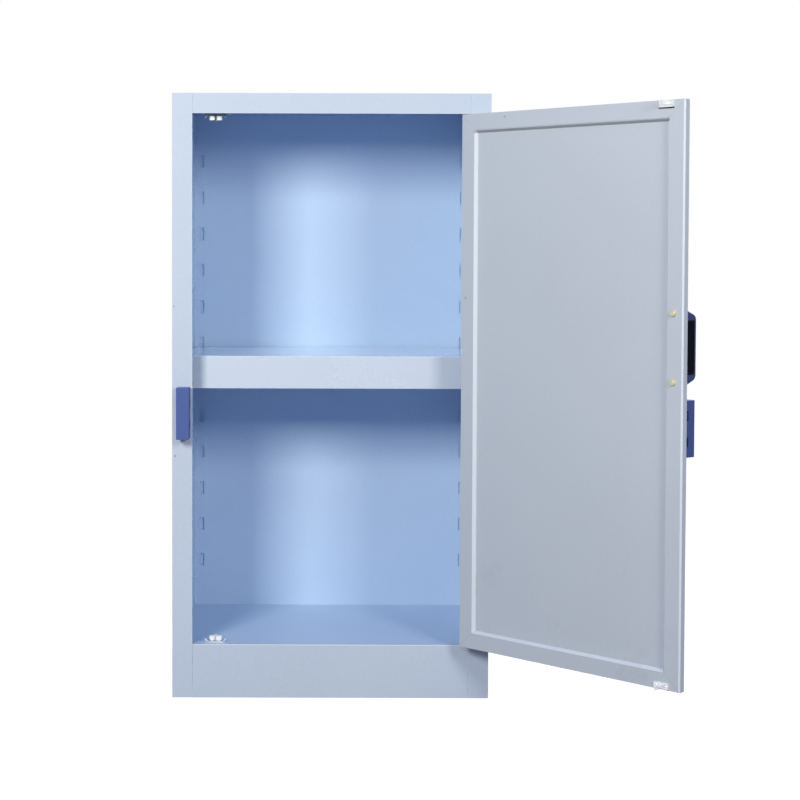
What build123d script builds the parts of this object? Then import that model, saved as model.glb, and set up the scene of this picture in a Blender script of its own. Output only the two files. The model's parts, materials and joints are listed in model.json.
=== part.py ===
from build123d import *
from math import cos, radians, sin
import os

# A welded plastic storage cabinet for bottles: one inset door on three hinges, one shelf on
# two bracket arms, and two double-roller catches that meet a strike on the door.
# Millimetres. X runs to the right, Y to the back, Z up. The origin is on the ground under
# the middle of the carcass. The front plane of the frame is at y = front_y.
# The door's pieces are drawn shut and then turned about the hinge axis to open_angle.

# ---- Carcass ----------------------------------------------------------------------------
body_width = 472.0
body_depth = 336.0
body_height = 900.0
side_t = 10.0              # side panels
back_t = 10.0              # back panel
top_t = 10.0               # top panel
floor_t = 10.0             # floor panel
frame_t = 10.0             # stiles, top rail and plinth board
stile_w = 30.0
rail_h = 30.0
plinth_h = 80.0            # from the ground to the floor panel's upper face
rib_t = 10.0               # rib under the middle of the floor panel
edge_round = 1.0           # rounded front edges round the opening

# ---- Slots in the back panel, which take the shelf's arms ---------------------------------
slot_side_gap = 8.0        # from the side panel to a slot
slot_w = 7.0
slot_h = 20.0
slot_depth = 3.4
slot_pitch = 60.0
slot_first = 85.0          # from the floor to the lowest slot's upper end
slot_headroom = 60.0       # least distance from the top slot's upper end to the ceiling

# ---- Door -------------------------------------------------------------------------------
door_side_gap = 3.5
door_top_gap = 3.0
door_bottom_gap = 4.0
door_sheet_t = 5.0         # outer sheet
border_t = 5.0             # raised border on the inner face
border_side_w = 26.0
border_end_w = 23.0
border_bevel_w = 3.8       # sloping inner side of the border
border_land = 0.8          # upright part under the slope
door_edge_chamfer = 2.0    # along the border's two long outer edges
open_angle = 132.3         # how far the door stands open

# ---- Hinges -----------------------------------------------------------------------------
hinge_names = ["upper", "middle", "lower"]
hinge_inset = 110.0        # from the door's end to the middle of the hinge next to it
hinge_length = 70.0
knuckle_r = 6.0
knuckle_gap = 0.4          # along the pin, between knuckles
door_knuckle_length = 29.2
leaf_w = 24.0
leaf_t = 4.5
leaf_gap = 0.5             # between a leaf's face and the other leaf's knuckle
leaf_setback = 2.0         # from the edge of the stile or door to the leaf
leaf_corner_r = 3.0
pin_r = 2.5
pin_seat_gap = 0.02        # radial, in the fixed knuckles
pin_running_gap = 0.06     # radial, in the turning knuckle
pin_head_r = 4.0
pin_head_h = 1.6
hinge_screw_spacing = 44.0

# ---- Screws -----------------------------------------------------------------------------
screw_head_r = 3.8
screw_head_h = 2.2
screw_shank_r = 1.9
screw_length = 10.0        # shank under the head, for the hinge leaves
screw_slot_w = 1.2
screw_slot_depth = 0.9
small_head_r = 2.3
small_head_h = 1.4
small_shank_r = 1.2
small_screw_length = 6.0
screw_fit = 0.02           # radial clearance round a shank

# ---- Handle on the door's outer face --------------------------------------------------------
handle_z = 540.2           # middle of the handle
handle_edge_gap = 6.8      # from the door's free edge to the handle
handle_w = 18.0
handle_reach = 28.0
handle_base_length = 106.0
handle_end_slope = 11.0    # how far each end slopes in from the door to the bar
handle_leg_length = 16.8   # along the handle, at the door
handle_bolt_inset = 7.3    # from the outer end of a leg to the middle of its bolt
handle_bar_t = 4.0
handle_corner_r = 9.0
handle_inner_r = 4.0
handle_edge_r = 1.5
bolt_r = 2.5
bolt_in_leg = 8.0
bolt_fit = 0.02
cap_r = 4.6
cap_h = 3.6
cap_round = 2.0

# ---- Hasp blocks, one on the door and one on the stile -----------------------------------------
stile_hasp_z = 426.8       # middle of the stile's block
door_hasp_z = 432.0        # middle of the door's block, which hangs a little higher
hasp_h = 76.3
hasp_reach = 28.0
stile_hasp_w = 19.0
stile_hasp_edge_gap = 3.0  # from the opening to the stile's block
door_hasp_w = 19.0
door_hasp_edge_gap = 8.2   # from the door's free edge to the door's block
hasp_window_h = 13.0
hasp_window_w = 11.3
hasp_window_inset = 3.3    # from the door or stile to the window
hasp_window_spacing = 35.0
hasp_edge_r = 0.7

# ---- Roller catches and strikes -------------------------------------------------------------
catch_from_opening = 33.5  # from the opening's left side to the middle of the catch
catch_setback = 22.0       # from the front plane to the roller axes
catch_base_l = 32.0
catch_base_w = 14.0
catch_base_t = 1.5
catch_screw_inset = 3.0    # from the base plate's end to a screw's middle
catch_screw_setback = 3.4  # behind the roller axes
catch_ear_inset = 5.4      # from the base plate's end to where an ear bends up
catch_ear_w = 6.0          # along the depth, from the base plate's front edge
catch_ear_length = 6.5     # along its slope
catch_web_h = 9.6          # upright web behind the rollers
catch_web_l = 12.0
roller_r = 4.2
roller_h = 6.4
roller_gap = 2.3           # between the two rollers
roller_standoff = 1.2      # from the base plate to the roller
roller_pin_r = 1.5
roller_running_gap = 0.06
roller_end_gap = 0.3
roller_washer_r = 2.6
mount_block_margin = 6.0   # past each end of the base plate
mount_block_depth = 26.0
strike_w = 24.0
strike_h = 9.0
strike_t = 1.2
strike_edge_gap = 0.5      # from the door's end to the strike's plate
strike_screw_inset = 3.5   # from the plate's side to a screw's middle
tongue_t = 1.0
tongue_h = 4.4
tongue_past_rollers = 2.5

# ---- Shelf --------------------------------------------------------------------------------
shelf_row = 5              # the slot that holds the arms, counted up from the lowest as 0
arm_rise = 34.0            # from the slot's upper end to the shelf's underside
arm_t = 8.0
arm_front_h = 22.0
arm_below_slot = 1.5       # how far the arm's rear end reaches below the slot
arm_front_gap = 3.0        # from the fascia to the arm
tab_fit = 0.25             # round the tab, in its slot
shelf_setback = 40.0       # from the front plane to the fascia
shelf_panel_t = 10.0
fascia_t = 10.0
fascia_h = 49.0
shelf_side_gap = 1.5
shelf_back_gap = 2.0
shelf_edge_round = 1.2

# ---- Places that follow from the sizes ---------------------------------------------------------
left_x = -body_width / 2
right_x = body_width / 2
front_y = -body_depth / 2
back_y = body_depth / 2
inner_x = right_x - side_t
back_face_y = back_y - back_t
ceiling_z = body_height - top_t
open_right_x = right_x - stile_w
open_left_x = left_x + stile_w
open_top_z = body_height - rail_h
frame_back_y = front_y + frame_t

door_t = door_sheet_t + border_t
door_right_x = open_right_x - door_side_gap
door_left_x = open_left_x + door_side_gap
door_bottom_z = plinth_h + door_bottom_gap
door_top_z = open_top_z - door_top_gap
door_inner_y = front_y + door_t

hinge_x = open_right_x - door_side_gap / 2
hinge_y = front_y - knuckle_r - leaf_gap - leaf_t
hinge_axis = Axis((hinge_x, hinge_y, 0), (0, 0, 1))

handle_crown_length = handle_base_length - 2 * handle_end_slope
handle_gap_length = handle_base_length - 2 * handle_leg_length
handle_bolt_spacing = handle_base_length - 2 * handle_bolt_inset

catch_x = open_left_x + catch_from_opening
catch_y = front_y + catch_setback
catch_screw_spacing = catch_base_l - 2 * catch_screw_inset
mount_block_w = catch_base_l + 2 * mount_block_margin
strike_screw_spacing = strike_w - 2 * strike_screw_inset
roller_offset = roller_gap / 2 + roller_r

slot_rows = int((ceiling_z - slot_headroom - plinth_h - slot_first) / slot_pitch) + 1
slot_outer_x = inner_x - slot_side_gap
slot_inner_x = slot_outer_x - slot_w
shelf_underside_z = plinth_h + slot_first + shelf_row * slot_pitch + arm_rise
shelf_top_z = shelf_underside_z + shelf_panel_t
shelf_front_y = front_y + shelf_setback


def block(x, y, z):
    """A box from three (low, high) pairs."""
    size = (x[1] - x[0], y[1] - y[0], z[1] - z[0])
    middle = ((x[0] + x[1]) / 2, (y[0] + y[1]) / 2, (z[0] + z[1]) / 2)
    return Pos(*middle) * Box(*size)


def rod(x, y, z, radius):
    """An upright cylinder at x, y between the heights z = (low, high)."""
    return Pos(x, y, (z[0] + z[1]) / 2) * Cylinder(radius, z[1] - z[0])


def rod_along_y(x, z, y, radius):
    """A cylinder along Y at x, z between y = (low, high)."""
    return Pos(x, (y[0] + y[1]) / 2, z) * Rot(90, 0, 0) * Cylinder(radius, y[1] - y[0])


def prism_along_x(points, x):
    """A solid with the outline points (y, z), between x = (low, high)."""
    outline = make_face(Plane.YZ * Polyline(*points, close=True))
    return Pos(x[0], 0, 0) * extrude(outline, amount=x[1] - x[0], dir=(1, 0, 0))


def prism_upright(points, z):
    """A solid with the outline points (x, y), between z = (low, high)."""
    outline = make_face(Polyline(*points, close=True))
    return Pos(0, 0, z[0]) * extrude(outline, amount=z[1] - z[0])


def edges_along(shape, direction, **at):
    """The edges parallel to direction whose middle lies at the given x, y or z."""
    found = shape.edges().filter_by(direction)
    for name, value in at.items():
        found = [edge for edge in found if abs(getattr(edge.center(), name.upper()) - value) < 0.01]
    return found


def opened(shape):
    """Turns a piece of the shut door to where the open door holds it."""
    return shape.rotate(hinge_axis, open_angle)


def group(solids):
    """Separate solids that share one node."""
    return Compound(children=list(solids))


# ---- Carcass ----------------------------------------------------------------------------

def side_panel(side):
    """side is -1 for the left and 1 for the right."""
    faces = sorted([side * inner_x, side * right_x])
    return block(faces, (frame_back_y, back_y), (0, body_height))


def slot_pocket(side, row):
    top = plinth_h + slot_first + row * slot_pitch
    x = sorted([side * slot_inner_x, side * slot_outer_x])
    return block(x, (back_face_y, back_face_y + slot_depth), (top - slot_h, top))


def back_panel():
    panel = block((-inner_x, inner_x), (back_face_y, back_y), (0, body_height))
    pockets = [slot_pocket(side, row) for side in (-1, 1) for row in range(slot_rows)]
    return panel - pockets


def stile(side):
    edges = sorted([side * open_right_x, side * right_x])
    piece = block(edges, (front_y, frame_back_y), (0, body_height))
    return fillet(edges_along(piece, Axis.Z, x=side * open_right_x, y=front_y), edge_round)


def top_rail():
    piece = block((open_left_x, open_right_x), (front_y, frame_back_y), (open_top_z, body_height))
    return fillet(edges_along(piece, Axis.X, y=front_y, z=open_top_z), edge_round)


def plinth_board():
    piece = block((open_left_x, open_right_x), (front_y, frame_back_y), (0, plinth_h))
    return fillet(edges_along(piece, Axis.X, y=front_y, z=plinth_h), edge_round)


def horizontal_panel(z):
    return block((-inner_x, inner_x), (frame_back_y, back_face_y), z)


def plinth_cross_rib():
    return block((-rib_t / 2, rib_t / 2), (frame_back_y, back_face_y), (0, plinth_h - floor_t))


def catch_mount_block():
    """The block behind the top rail that carries the upper catch."""
    return block(
        (catch_x - mount_block_w / 2, catch_x + mount_block_w / 2),
        (frame_back_y, frame_back_y + mount_block_depth),
        (open_top_z, ceiling_z),
    )


# ---- Screws -----------------------------------------------------------------------------

def pan_screw(head_r, head_h, shank_r, length):
    """A screw along Z with its head above z = 0 and its shank below."""
    head = Pos(0, 0, head_h / 2) * Cylinder(head_r, head_h)
    head = fillet(head.edges().group_by(Axis.Z)[-1], head_h * 0.6)
    slot = Pos(0, 0, head_h) * Box(2 * head_r, screw_slot_w, 2 * screw_slot_depth)
    shank = Pos(0, 0, -length / 2) * Cylinder(shank_r, length)
    return head + shank - slot


def hinge_screw():
    return pan_screw(screw_head_r, screw_head_h, screw_shank_r, screw_length)


def small_screw():
    return pan_screw(small_head_r, small_head_h, small_shank_r, small_screw_length)


def facing_front(screw, x, y, z):
    """The screw seated at x, y, z with its head towards the front."""
    return Pos(x, y, z) * Rot(90, 0, 0) * screw


def facing_back(screw, x, y, z):
    return Pos(x, y, z) * Rot(-90, 0, 0) * screw


# ---- Hinges -----------------------------------------------------------------------------

def hinge_heights():
    low = door_bottom_z + hinge_inset
    high = door_top_z - hinge_inset
    return {"upper": high, "middle": (low + high) / 2, "lower": low}


def leaf_faces(side):
    """The leaf's near and far ends in x: side is 1 on the stile and -1 on the door."""
    edge = open_right_x if side > 0 else door_right_x
    return edge + side * leaf_setback, edge + side * (leaf_setback + leaf_w)


def leaf_screw_holes(side, middle_z, depth):
    near, far = leaf_faces(side)
    heights = (middle_z - hinge_screw_spacing / 2, middle_z + hinge_screw_spacing / 2)
    y = (front_y - leaf_t, front_y - leaf_t + depth)
    return [rod_along_y((near + far) / 2, z, y, screw_shank_r + screw_fit) for z in heights]


def knuckle(side, z, bore_r):
    """One knuckle with the web that joins it to its leaf, between the heights z."""
    near, _ = leaf_faces(side)
    web_end = near + side * leaf_t
    lean = radians(30)
    web = prism_upright(
        [
            (hinge_x, front_y),
            (hinge_x, hinge_y),
            (hinge_x + side * knuckle_r * cos(lean), hinge_y - knuckle_r * sin(lean)),
            (web_end, front_y - leaf_t),
            (web_end, front_y),
        ],
        z,
    )
    return web + rod(hinge_x, hinge_y, z, knuckle_r) - rod(hinge_x, hinge_y, z, bore_r)


def hinge_leaf(side, middle_z):
    near, far = leaf_faces(side)
    low, high = middle_z - hinge_length / 2, middle_z + hinge_length / 2
    plate = block(sorted([near, far]), (front_y - leaf_t, front_y), (low, high))
    plate = fillet(edges_along(plate, Axis.Y, x=far), leaf_corner_r)
    half = door_knuckle_length / 2
    if side > 0:
        outer = half + knuckle_gap
        spans = [(low, middle_z - outer), (middle_z + outer, high)]
        bore = pin_r + pin_seat_gap
    else:
        spans = [(middle_z - half, middle_z + half)]
        bore = pin_r + pin_running_gap
    leaf = plate + [knuckle(side, span, bore) for span in spans]
    return leaf - leaf_screw_holes(side, middle_z, leaf_t)


def hinge_pin(middle_z):
    low, high = middle_z - hinge_length / 2, middle_z + hinge_length / 2
    shaft = rod(hinge_x, hinge_y, (low - pin_head_h, high), pin_r)
    head = rod(hinge_x, hinge_y, (high, high + pin_head_h), pin_head_r)
    head = fillet(head.edges().group_by(Axis.Z)[-1], pin_head_h * 0.5)
    return shaft + head


def hinge_screws(side):
    near, far = leaf_faces(side)
    half = hinge_screw_spacing / 2
    heights = [z + step * half for z in hinge_heights().values() for step in (-1, 1)]
    seat_y = front_y - leaf_t
    return [facing_front(hinge_screw(), (near + far) / 2, seat_y, z) for z in heights]


def all_hinge_holes(side):
    """Shank holes in the stile or the door behind every leaf."""
    depth = screw_length + screw_fit
    holes = []
    for z in hinge_heights().values():
        holes += leaf_screw_holes(side, z, depth)
    return holes


# ---- Door -------------------------------------------------------------------------------

def handle_x():
    """The handle's middle, across the shut door."""
    return door_left_x + handle_edge_gap + handle_w / 2


def handle_bolt_heights():
    return (handle_z - handle_bolt_spacing / 2, handle_z + handle_bolt_spacing / 2)


def bolt_holes():
    y = (front_y - bolt_in_leg - bolt_fit, door_inner_y)
    return [rod_along_y(handle_x(), z, y, bolt_r + bolt_fit) for z in handle_bolt_heights()]


def door_outer_panel():
    sheet = block(
        (door_left_x, door_right_x),
        (front_y, front_y + door_sheet_t),
        (door_bottom_z, door_top_z),
    )
    return sheet - bolt_holes() - all_hinge_holes(-1)


def border_ring():
    """The whole raised border, before it is cut at its mitres."""
    sheet_face_y = front_y + door_sheet_t
    slope_y = sheet_face_y + border_land
    ring = block((door_left_x, door_right_x), (sheet_face_y, door_inner_y), (door_bottom_z, door_top_z))
    long_edges = edges_along(ring, Axis.Z, y=door_inner_y)
    ring = chamfer(long_edges, door_edge_chamfer)
    middle_x = (door_left_x + door_right_x) / 2
    middle_z = (door_bottom_z + door_top_z) / 2
    window_w = door_right_x - door_left_x - 2 * border_side_w
    window_h = door_top_z - door_bottom_z - 2 * border_end_w
    foot_w = window_w - 2 * border_bevel_w
    foot_h = window_h - 2 * border_bevel_w
    upright = block(
        (middle_x - foot_w / 2, middle_x + foot_w / 2),
        (sheet_face_y, slope_y),
        (middle_z - foot_h / 2, middle_z + foot_h / 2),
    )
    at_foot = Plane((middle_x, slope_y, middle_z), x_dir=(1, 0, 0), z_dir=(0, 1, 0))
    at_face = Plane((middle_x, door_inner_y, middle_z), x_dir=(1, 0, 0), z_dir=(0, 1, 0))
    slope = loft([at_foot * Rectangle(foot_w, foot_h), at_face * Rectangle(window_w, window_h)])
    return ring - upright - slope


def mitre_wedge(name):
    """The part of the door's outline that belongs to one border strip."""
    y = (front_y, door_inner_y + 1)
    corner = {
        "top left": (door_left_x, door_top_z),
        "top right": (door_right_x, door_top_z),
        "bottom left": (door_left_x, door_bottom_z),
        "bottom right": (door_right_x, door_bottom_z),
    }
    reach = (door_right_x - door_left_x) / 2

    def inward(key):
        """A point on the mitre line, half the door's width in from the corner."""
        x, z = corner[key]
        x_step = reach if "left" in key else -reach
        z_step = -reach if "top" in key else reach
        return (x + x_step, z + z_step * border_end_w / border_side_w)

    ends = {
        "hinge_side": ("bottom right", "top right"),
        "free_side": ("top left", "bottom left"),
        "top": ("top right", "top left"),
        "bottom": ("bottom left", "bottom right"),
    }[name]
    points = [corner[ends[0]], corner[ends[1]], inward(ends[1]), inward(ends[0])]
    points = [point for place, point in enumerate(points) if point not in points[:place]]
    outline = make_face(Plane.XZ * Polyline(*points, close=True))
    wedge = extrude(outline, amount=y[1] - y[0], dir=(0, 1, 0))
    return Pos(0, y[0], 0) * wedge


def door_border(name, ring):
    strip = ring & mitre_wedge(name)
    return strip - bolt_holes() - strike_screw_holes() - all_hinge_holes(-1)


def door_handle():
    """A bow: two legs on the door and a bar between them, with its ends sloping in."""
    back = front_y
    crown = front_y - handle_reach
    outline = Polyline(
        (back, handle_z - handle_base_length / 2),
        (crown, handle_z - handle_crown_length / 2),
        (crown, handle_z + handle_crown_length / 2),
        (back, handle_z + handle_base_length / 2),
        close=True,
    )
    x = (handle_x() - handle_w / 2, handle_x() + handle_w / 2)
    bow = Pos(x[0], 0, 0) * extrude(make_face(Plane.YZ * outline), amount=handle_w, dir=(1, 0, 0))
    bow = fillet(edges_along(bow, Axis.X, y=crown), handle_corner_r)
    finger_gap = block(
        (x[0] - 1, x[1] + 1),
        (crown + handle_bar_t, back + 1),
        (handle_z - handle_gap_length / 2, handle_z + handle_gap_length / 2),
    )
    finger_gap = fillet(edges_along(finger_gap, Axis.X, y=crown + handle_bar_t), handle_inner_r)
    rim = [edge for edge in bow.edges() if edge.center().Y < back - 0.01 and not along_x(edge)]
    bow = fillet(rim, handle_edge_r)
    return bow - finger_gap - bolt_holes()


def along_x(edge):
    return edge.bounding_box().size.X > 0.01


def handle_bolts():
    y = (front_y - bolt_in_leg, door_inner_y)
    return [rod_along_y(handle_x(), z, y, bolt_r) for z in handle_bolt_heights()]


def bolt_cap(z):
    cap = rod_along_y(handle_x(), z, (door_inner_y, door_inner_y + cap_h), cap_r)
    return fillet(cap.edges().group_by(Axis.Y)[-1], cap_round)


def hasp_block(x, z):
    """A block between x = (low, high), centred on z, with two windows for padlock shackles."""
    y = (front_y - hasp_reach, front_y)
    piece = block(x, y, (z - hasp_h / 2, z + hasp_h / 2))
    front_edges = [edge for edge in piece.edges() if edge.center().Y < front_y - 0.01]
    piece = fillet(front_edges, hasp_edge_r)
    for step in (-1, 1):
        middle = z + step * hasp_window_spacing / 2
        piece -= block(
            (x[0] - 1, x[1] + 1),
            (front_y - hasp_window_inset - hasp_window_w, front_y - hasp_window_inset),
            (middle - hasp_window_h / 2, middle + hasp_window_h / 2),
        )
    return piece


def stile_hasp_block():
    edge = open_left_x - stile_hasp_edge_gap
    return hasp_block((edge - stile_hasp_w, edge), stile_hasp_z)


def door_hasp_block():
    edge = door_left_x + door_hasp_edge_gap
    return hasp_block((edge, edge + door_hasp_w), door_hasp_z)


# ---- Roller catches and strikes -------------------------------------------------------------
# A catch is drawn standing on z = 0 and pointing up, and then placed on the floor panel or
# turned over under its mount block.

def placed_catch(shape, where):
    if where == "lower":
        return Pos(catch_x, catch_y, plinth_h) * shape
    return Pos(catch_x, catch_y, open_top_z) * Rot(0, 180, 0) * shape


def catch_ear(side):
    """A front corner of the base plate, bent up by 45 degrees."""
    bend_x = catch_base_l / 2 - catch_ear_inset
    bend = catch_base_t * (2 ** 0.5 - 1)
    run = catch_ear_length / 2 ** 0.5
    edge = catch_base_t / 2 ** 0.5
    points = [
        (bend_x - catch_base_t, 0),
        (bend_x + bend, 0),
        (bend_x + run + edge, catch_base_t + run - edge),
        (bend_x + run, catch_base_t + run),
        (bend_x, catch_base_t),
        (bend_x - catch_base_t, catch_base_t),
    ]
    outline = make_face(Plane.XZ * Polyline(*[(side * x, z) for x, z in points], close=True))
    ear = extrude(outline, amount=catch_ear_w, dir=(0, 1, 0))
    return Pos(0, -catch_base_w / 2, 0) * ear


def catch_base():
    """A plate with a web behind the rollers, two front corners bent up, and its holes."""
    plate = Pos(0, 0, catch_base_t / 2) * Box(catch_base_l, catch_base_w, catch_base_t)
    plate = fillet(plate.edges().filter_by(Axis.Z), 2 * catch_base_t)
    for side in (-1, 1):
        corner_x = sorted([side * (catch_base_l / 2 - catch_ear_inset), side * catch_base_l])
        corner_y = (-catch_base_w, catch_ear_w - catch_base_w / 2 + catch_base_t / 2)
        plate = plate - block(corner_x, corner_y, (-1, catch_base_t + 1)) + catch_ear(side)
    web_y = roller_r + roller_end_gap + catch_base_t / 2
    web = Pos(0, web_y, catch_web_h / 2) * Box(catch_web_l, catch_base_t, catch_web_h)
    holes = [
        Pos(step * catch_screw_spacing / 2, catch_screw_setback, catch_base_t / 2)
        * Cylinder(small_shank_r + screw_fit, catch_base_t)
        for step in (-1, 1)
    ]
    pin_holes = [
        Pos(step * roller_offset, 0, catch_base_t / 2) * Cylinder(roller_pin_r, catch_base_t)
        for step in (-1, 1)
    ]
    return plate + web - holes - pin_holes


def roller_pin(step):
    """A pin with a shoulder under the roller and a head over it."""
    low = catch_base_t + roller_standoff
    high = low + roller_h + roller_end_gap
    x = step * roller_offset
    shaft = rod(x, 0, (0, high), roller_pin_r)
    shoulder = rod(x, 0, (catch_base_t, low - roller_end_gap / 2), roller_washer_r)
    head = rod(x, 0, (high, high + catch_base_t / 2), roller_washer_r)
    return shaft + shoulder + head


def catch_roller(step):
    low = catch_base_t + roller_standoff
    x = step * roller_offset
    roller = rod(x, 0, (low, low + roller_h), roller_r)
    roller = fillet(roller.edges(), roller_h / 12)
    return roller - rod(x, 0, (low, low + roller_h), roller_pin_r + roller_running_gap)


def catch_screw(step):
    return Pos(step * catch_screw_spacing / 2, catch_screw_setback, catch_base_t) * small_screw()


def catch_screw_holes(where):
    depth = small_screw_length - catch_base_t
    holes = [
        Pos(step * catch_screw_spacing / 2, catch_screw_setback, -depth / 2)
        * Cylinder(small_shank_r + screw_fit, depth)
        for step in (-1, 1)
    ]
    return [placed_catch(hole, where) for hole in holes]


def strike_plate_z(where):
    if where == "upper":
        return door_top_z - strike_edge_gap - strike_h / 2
    return door_bottom_z + strike_edge_gap + strike_h / 2


def strike(where):
    """A plate on the door's border with a tongue that passes between the rollers."""
    middle = strike_plate_z(where)
    towards_end = 1 if where == "upper" else -1
    tongue_z = middle + towards_end * (strike_h - tongue_h) / 2
    plate = block(
        (catch_x - strike_w / 2, catch_x + strike_w / 2),
        (door_inner_y, door_inner_y + strike_t),
        (middle - strike_h / 2, middle + strike_h / 2),
    )
    plate = fillet(plate.edges().filter_by(Axis.Y), strike_t)
    tongue = block(
        (catch_x - tongue_t / 2, catch_x + tongue_t / 2),
        (door_inner_y, catch_y + tongue_past_rollers),
        (tongue_z - tongue_h / 2, tongue_z + tongue_h / 2),
    )
    holes = [
        rod_along_y(catch_x + step * strike_screw_spacing / 2, middle,
                    (door_inner_y, door_inner_y + strike_t), small_shank_r + screw_fit)
        for step in (-1, 1)
    ]
    return plate + tongue - holes


def strike_screw_places():
    return [
        (catch_x + step * strike_screw_spacing / 2, strike_plate_z(where))
        for where in ("upper", "lower")
        for step in (-1, 1)
    ]


def strike_screw_holes():
    depth = small_screw_length - strike_t
    y = (door_inner_y - depth, door_inner_y)
    return [rod_along_y(x, z, y, small_shank_r + screw_fit) for x, z in strike_screw_places()]


def strike_screws():
    seat_y = door_inner_y + strike_t
    return [facing_back(small_screw(), x, seat_y, z) for x, z in strike_screw_places()]


# ---- Shelf --------------------------------------------------------------------------------

def shelf_panel():
    return block(
        (-inner_x + shelf_side_gap, inner_x - shelf_side_gap),
        (shelf_front_y + fascia_t, back_face_y - shelf_back_gap),
        (shelf_underside_z, shelf_top_z),
    )


def shelf_front_fascia():
    piece = block(
        (-inner_x + shelf_side_gap, inner_x - shelf_side_gap),
        (shelf_front_y, shelf_front_y + fascia_t),
        (shelf_top_z - fascia_h, shelf_top_z),
    )
    return fillet(edges_along(piece, Axis.X, y=shelf_front_y), shelf_edge_round)


def shelf_arm(side):
    """A bracket that stands out from the back panel, with a tab in one slot."""
    slot_top = plinth_h + slot_first + shelf_row * slot_pitch
    slot_bottom = slot_top - slot_h
    front = shelf_front_y + fascia_t + arm_front_gap
    inner = slot_inner_x + tab_fit
    arm_x = sorted([side * inner, side * (inner + arm_t)])
    tab_x = sorted([side * inner, side * (slot_outer_x - tab_fit)])
    arm = prism_along_x(
        [
            (front, shelf_underside_z),
            (back_face_y, shelf_underside_z),
            (back_face_y, slot_bottom - arm_below_slot),
            (front, shelf_underside_z - arm_front_h),
        ],
        arm_x,
    )
    tab = block(
        tab_x,
        (back_face_y, back_face_y + slot_depth - tab_fit),
        (slot_bottom + tab_fit, slot_top - tab_fit),
    )
    return arm + tab


# ---- Every node -------------------------------------------------------------------------

def carcass_nodes():
    nodes = {
        "left_side_panel": side_panel(-1),
        "right_side_panel": side_panel(1),
        "back_panel": back_panel(),
        "top_panel": horizontal_panel((ceiling_z, body_height)),
        "floor_panel": horizontal_panel((plinth_h - floor_t, plinth_h)) - catch_screw_holes("lower"),
        "left_stile": stile(-1),
        "right_stile": stile(1) - all_hinge_holes(1),
        "top_rail": top_rail(),
        "plinth_board": plinth_board(),
        "plinth_cross_rib": plinth_cross_rib(),
        "catch_mount_block": catch_mount_block() - catch_screw_holes("upper"),
        "stile_hasp_block": stile_hasp_block(),
        "left_shelf_arm": shelf_arm(-1),
        "right_shelf_arm": shelf_arm(1),
        "hinge_stile_screws": group(hinge_screws(1)),
    }
    for name in hinge_names:
        nodes[name + "_hinge_stile_leaf"] = hinge_leaf(1, hinge_heights()[name])
        nodes[name + "_hinge_pin"] = hinge_pin(hinge_heights()[name])
    for where in ("upper", "lower"):
        nodes[where + "_catch_base"] = placed_catch(catch_base(), where)
        nodes[where + "_catch_pins"] = placed_catch(group(roller_pin(step) for step in (-1, 1)), where)
        nodes[where + "_catch_screws"] = placed_catch(group(catch_screw(step) for step in (-1, 1)), where)
    return nodes


def roller_nodes():
    """Each roller turns on its own pin. The left one is the one next to the stile."""
    nodes = {}
    for where in ("upper", "lower"):
        for side, step in (("left", -1), ("right", 1)):
            as_placed = step if where == "lower" else -step
            nodes[where + "_catch_" + side + "_roller"] = placed_catch(catch_roller(as_placed), where)
    return nodes


def door_nodes():
    ring = border_ring()
    nodes = {
        "door_outer_panel": door_outer_panel(),
        "door_handle": door_handle(),
        "handle_bolts": group(handle_bolts()),
        "handle_bolt_caps": group(bolt_cap(z) for z in handle_bolt_heights()),
        "door_hasp_block": door_hasp_block(),
        "upper_strike": strike("upper"),
        "lower_strike": strike("lower"),
        "strike_screws": group(strike_screws()),
        "hinge_door_screws": group(hinge_screws(-1)),
    }
    for name in ("hinge_side", "free_side", "top", "bottom"):
        nodes["door_border_" + name] = door_border(name, ring)
    for name in hinge_names:
        nodes[name + "_hinge_door_leaf"] = hinge_leaf(-1, hinge_heights()[name])
    return {name: opened(shape) for name, shape in nodes.items()}


def shelf_nodes():
    return {"shelf_panel": shelf_panel(), "shelf_front_fascia": shelf_front_fascia()}


def main():
    os.makedirs("parts", exist_ok=True)
    nodes = {**carcass_nodes(), **roller_nodes(), **door_nodes(), **shelf_nodes()}
    for name, shape in nodes.items():
        export_step(shape, "parts/" + name + ".step")
    print(len(nodes), "nodes")


main()
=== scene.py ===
import json
import math

import bmesh
import bpy
from mathutils import Matrix, Vector

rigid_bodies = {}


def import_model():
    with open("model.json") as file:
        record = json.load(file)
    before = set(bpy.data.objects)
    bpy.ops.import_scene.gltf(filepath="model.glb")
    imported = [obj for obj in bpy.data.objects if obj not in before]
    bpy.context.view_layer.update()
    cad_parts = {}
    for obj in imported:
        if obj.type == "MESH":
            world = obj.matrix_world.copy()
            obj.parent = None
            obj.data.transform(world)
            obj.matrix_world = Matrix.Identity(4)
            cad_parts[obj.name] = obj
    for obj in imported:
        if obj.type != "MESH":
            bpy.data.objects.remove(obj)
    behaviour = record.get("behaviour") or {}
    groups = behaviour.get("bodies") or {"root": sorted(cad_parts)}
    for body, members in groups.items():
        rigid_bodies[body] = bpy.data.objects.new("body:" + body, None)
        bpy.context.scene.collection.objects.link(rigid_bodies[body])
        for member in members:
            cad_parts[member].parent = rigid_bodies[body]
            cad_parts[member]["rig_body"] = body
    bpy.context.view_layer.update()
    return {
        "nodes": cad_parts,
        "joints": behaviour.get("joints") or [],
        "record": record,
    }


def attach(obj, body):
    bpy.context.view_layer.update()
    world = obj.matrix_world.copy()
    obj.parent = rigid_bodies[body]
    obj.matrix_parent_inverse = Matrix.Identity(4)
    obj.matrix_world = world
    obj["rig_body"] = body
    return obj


# Looks for a welded plastic storage cabinet with one hinged door, one shelf, roller catches
# and hasp blocks. Metres, in the frame of the CAD model: the front faces -Y, the ground is z = 0.

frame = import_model()

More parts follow.
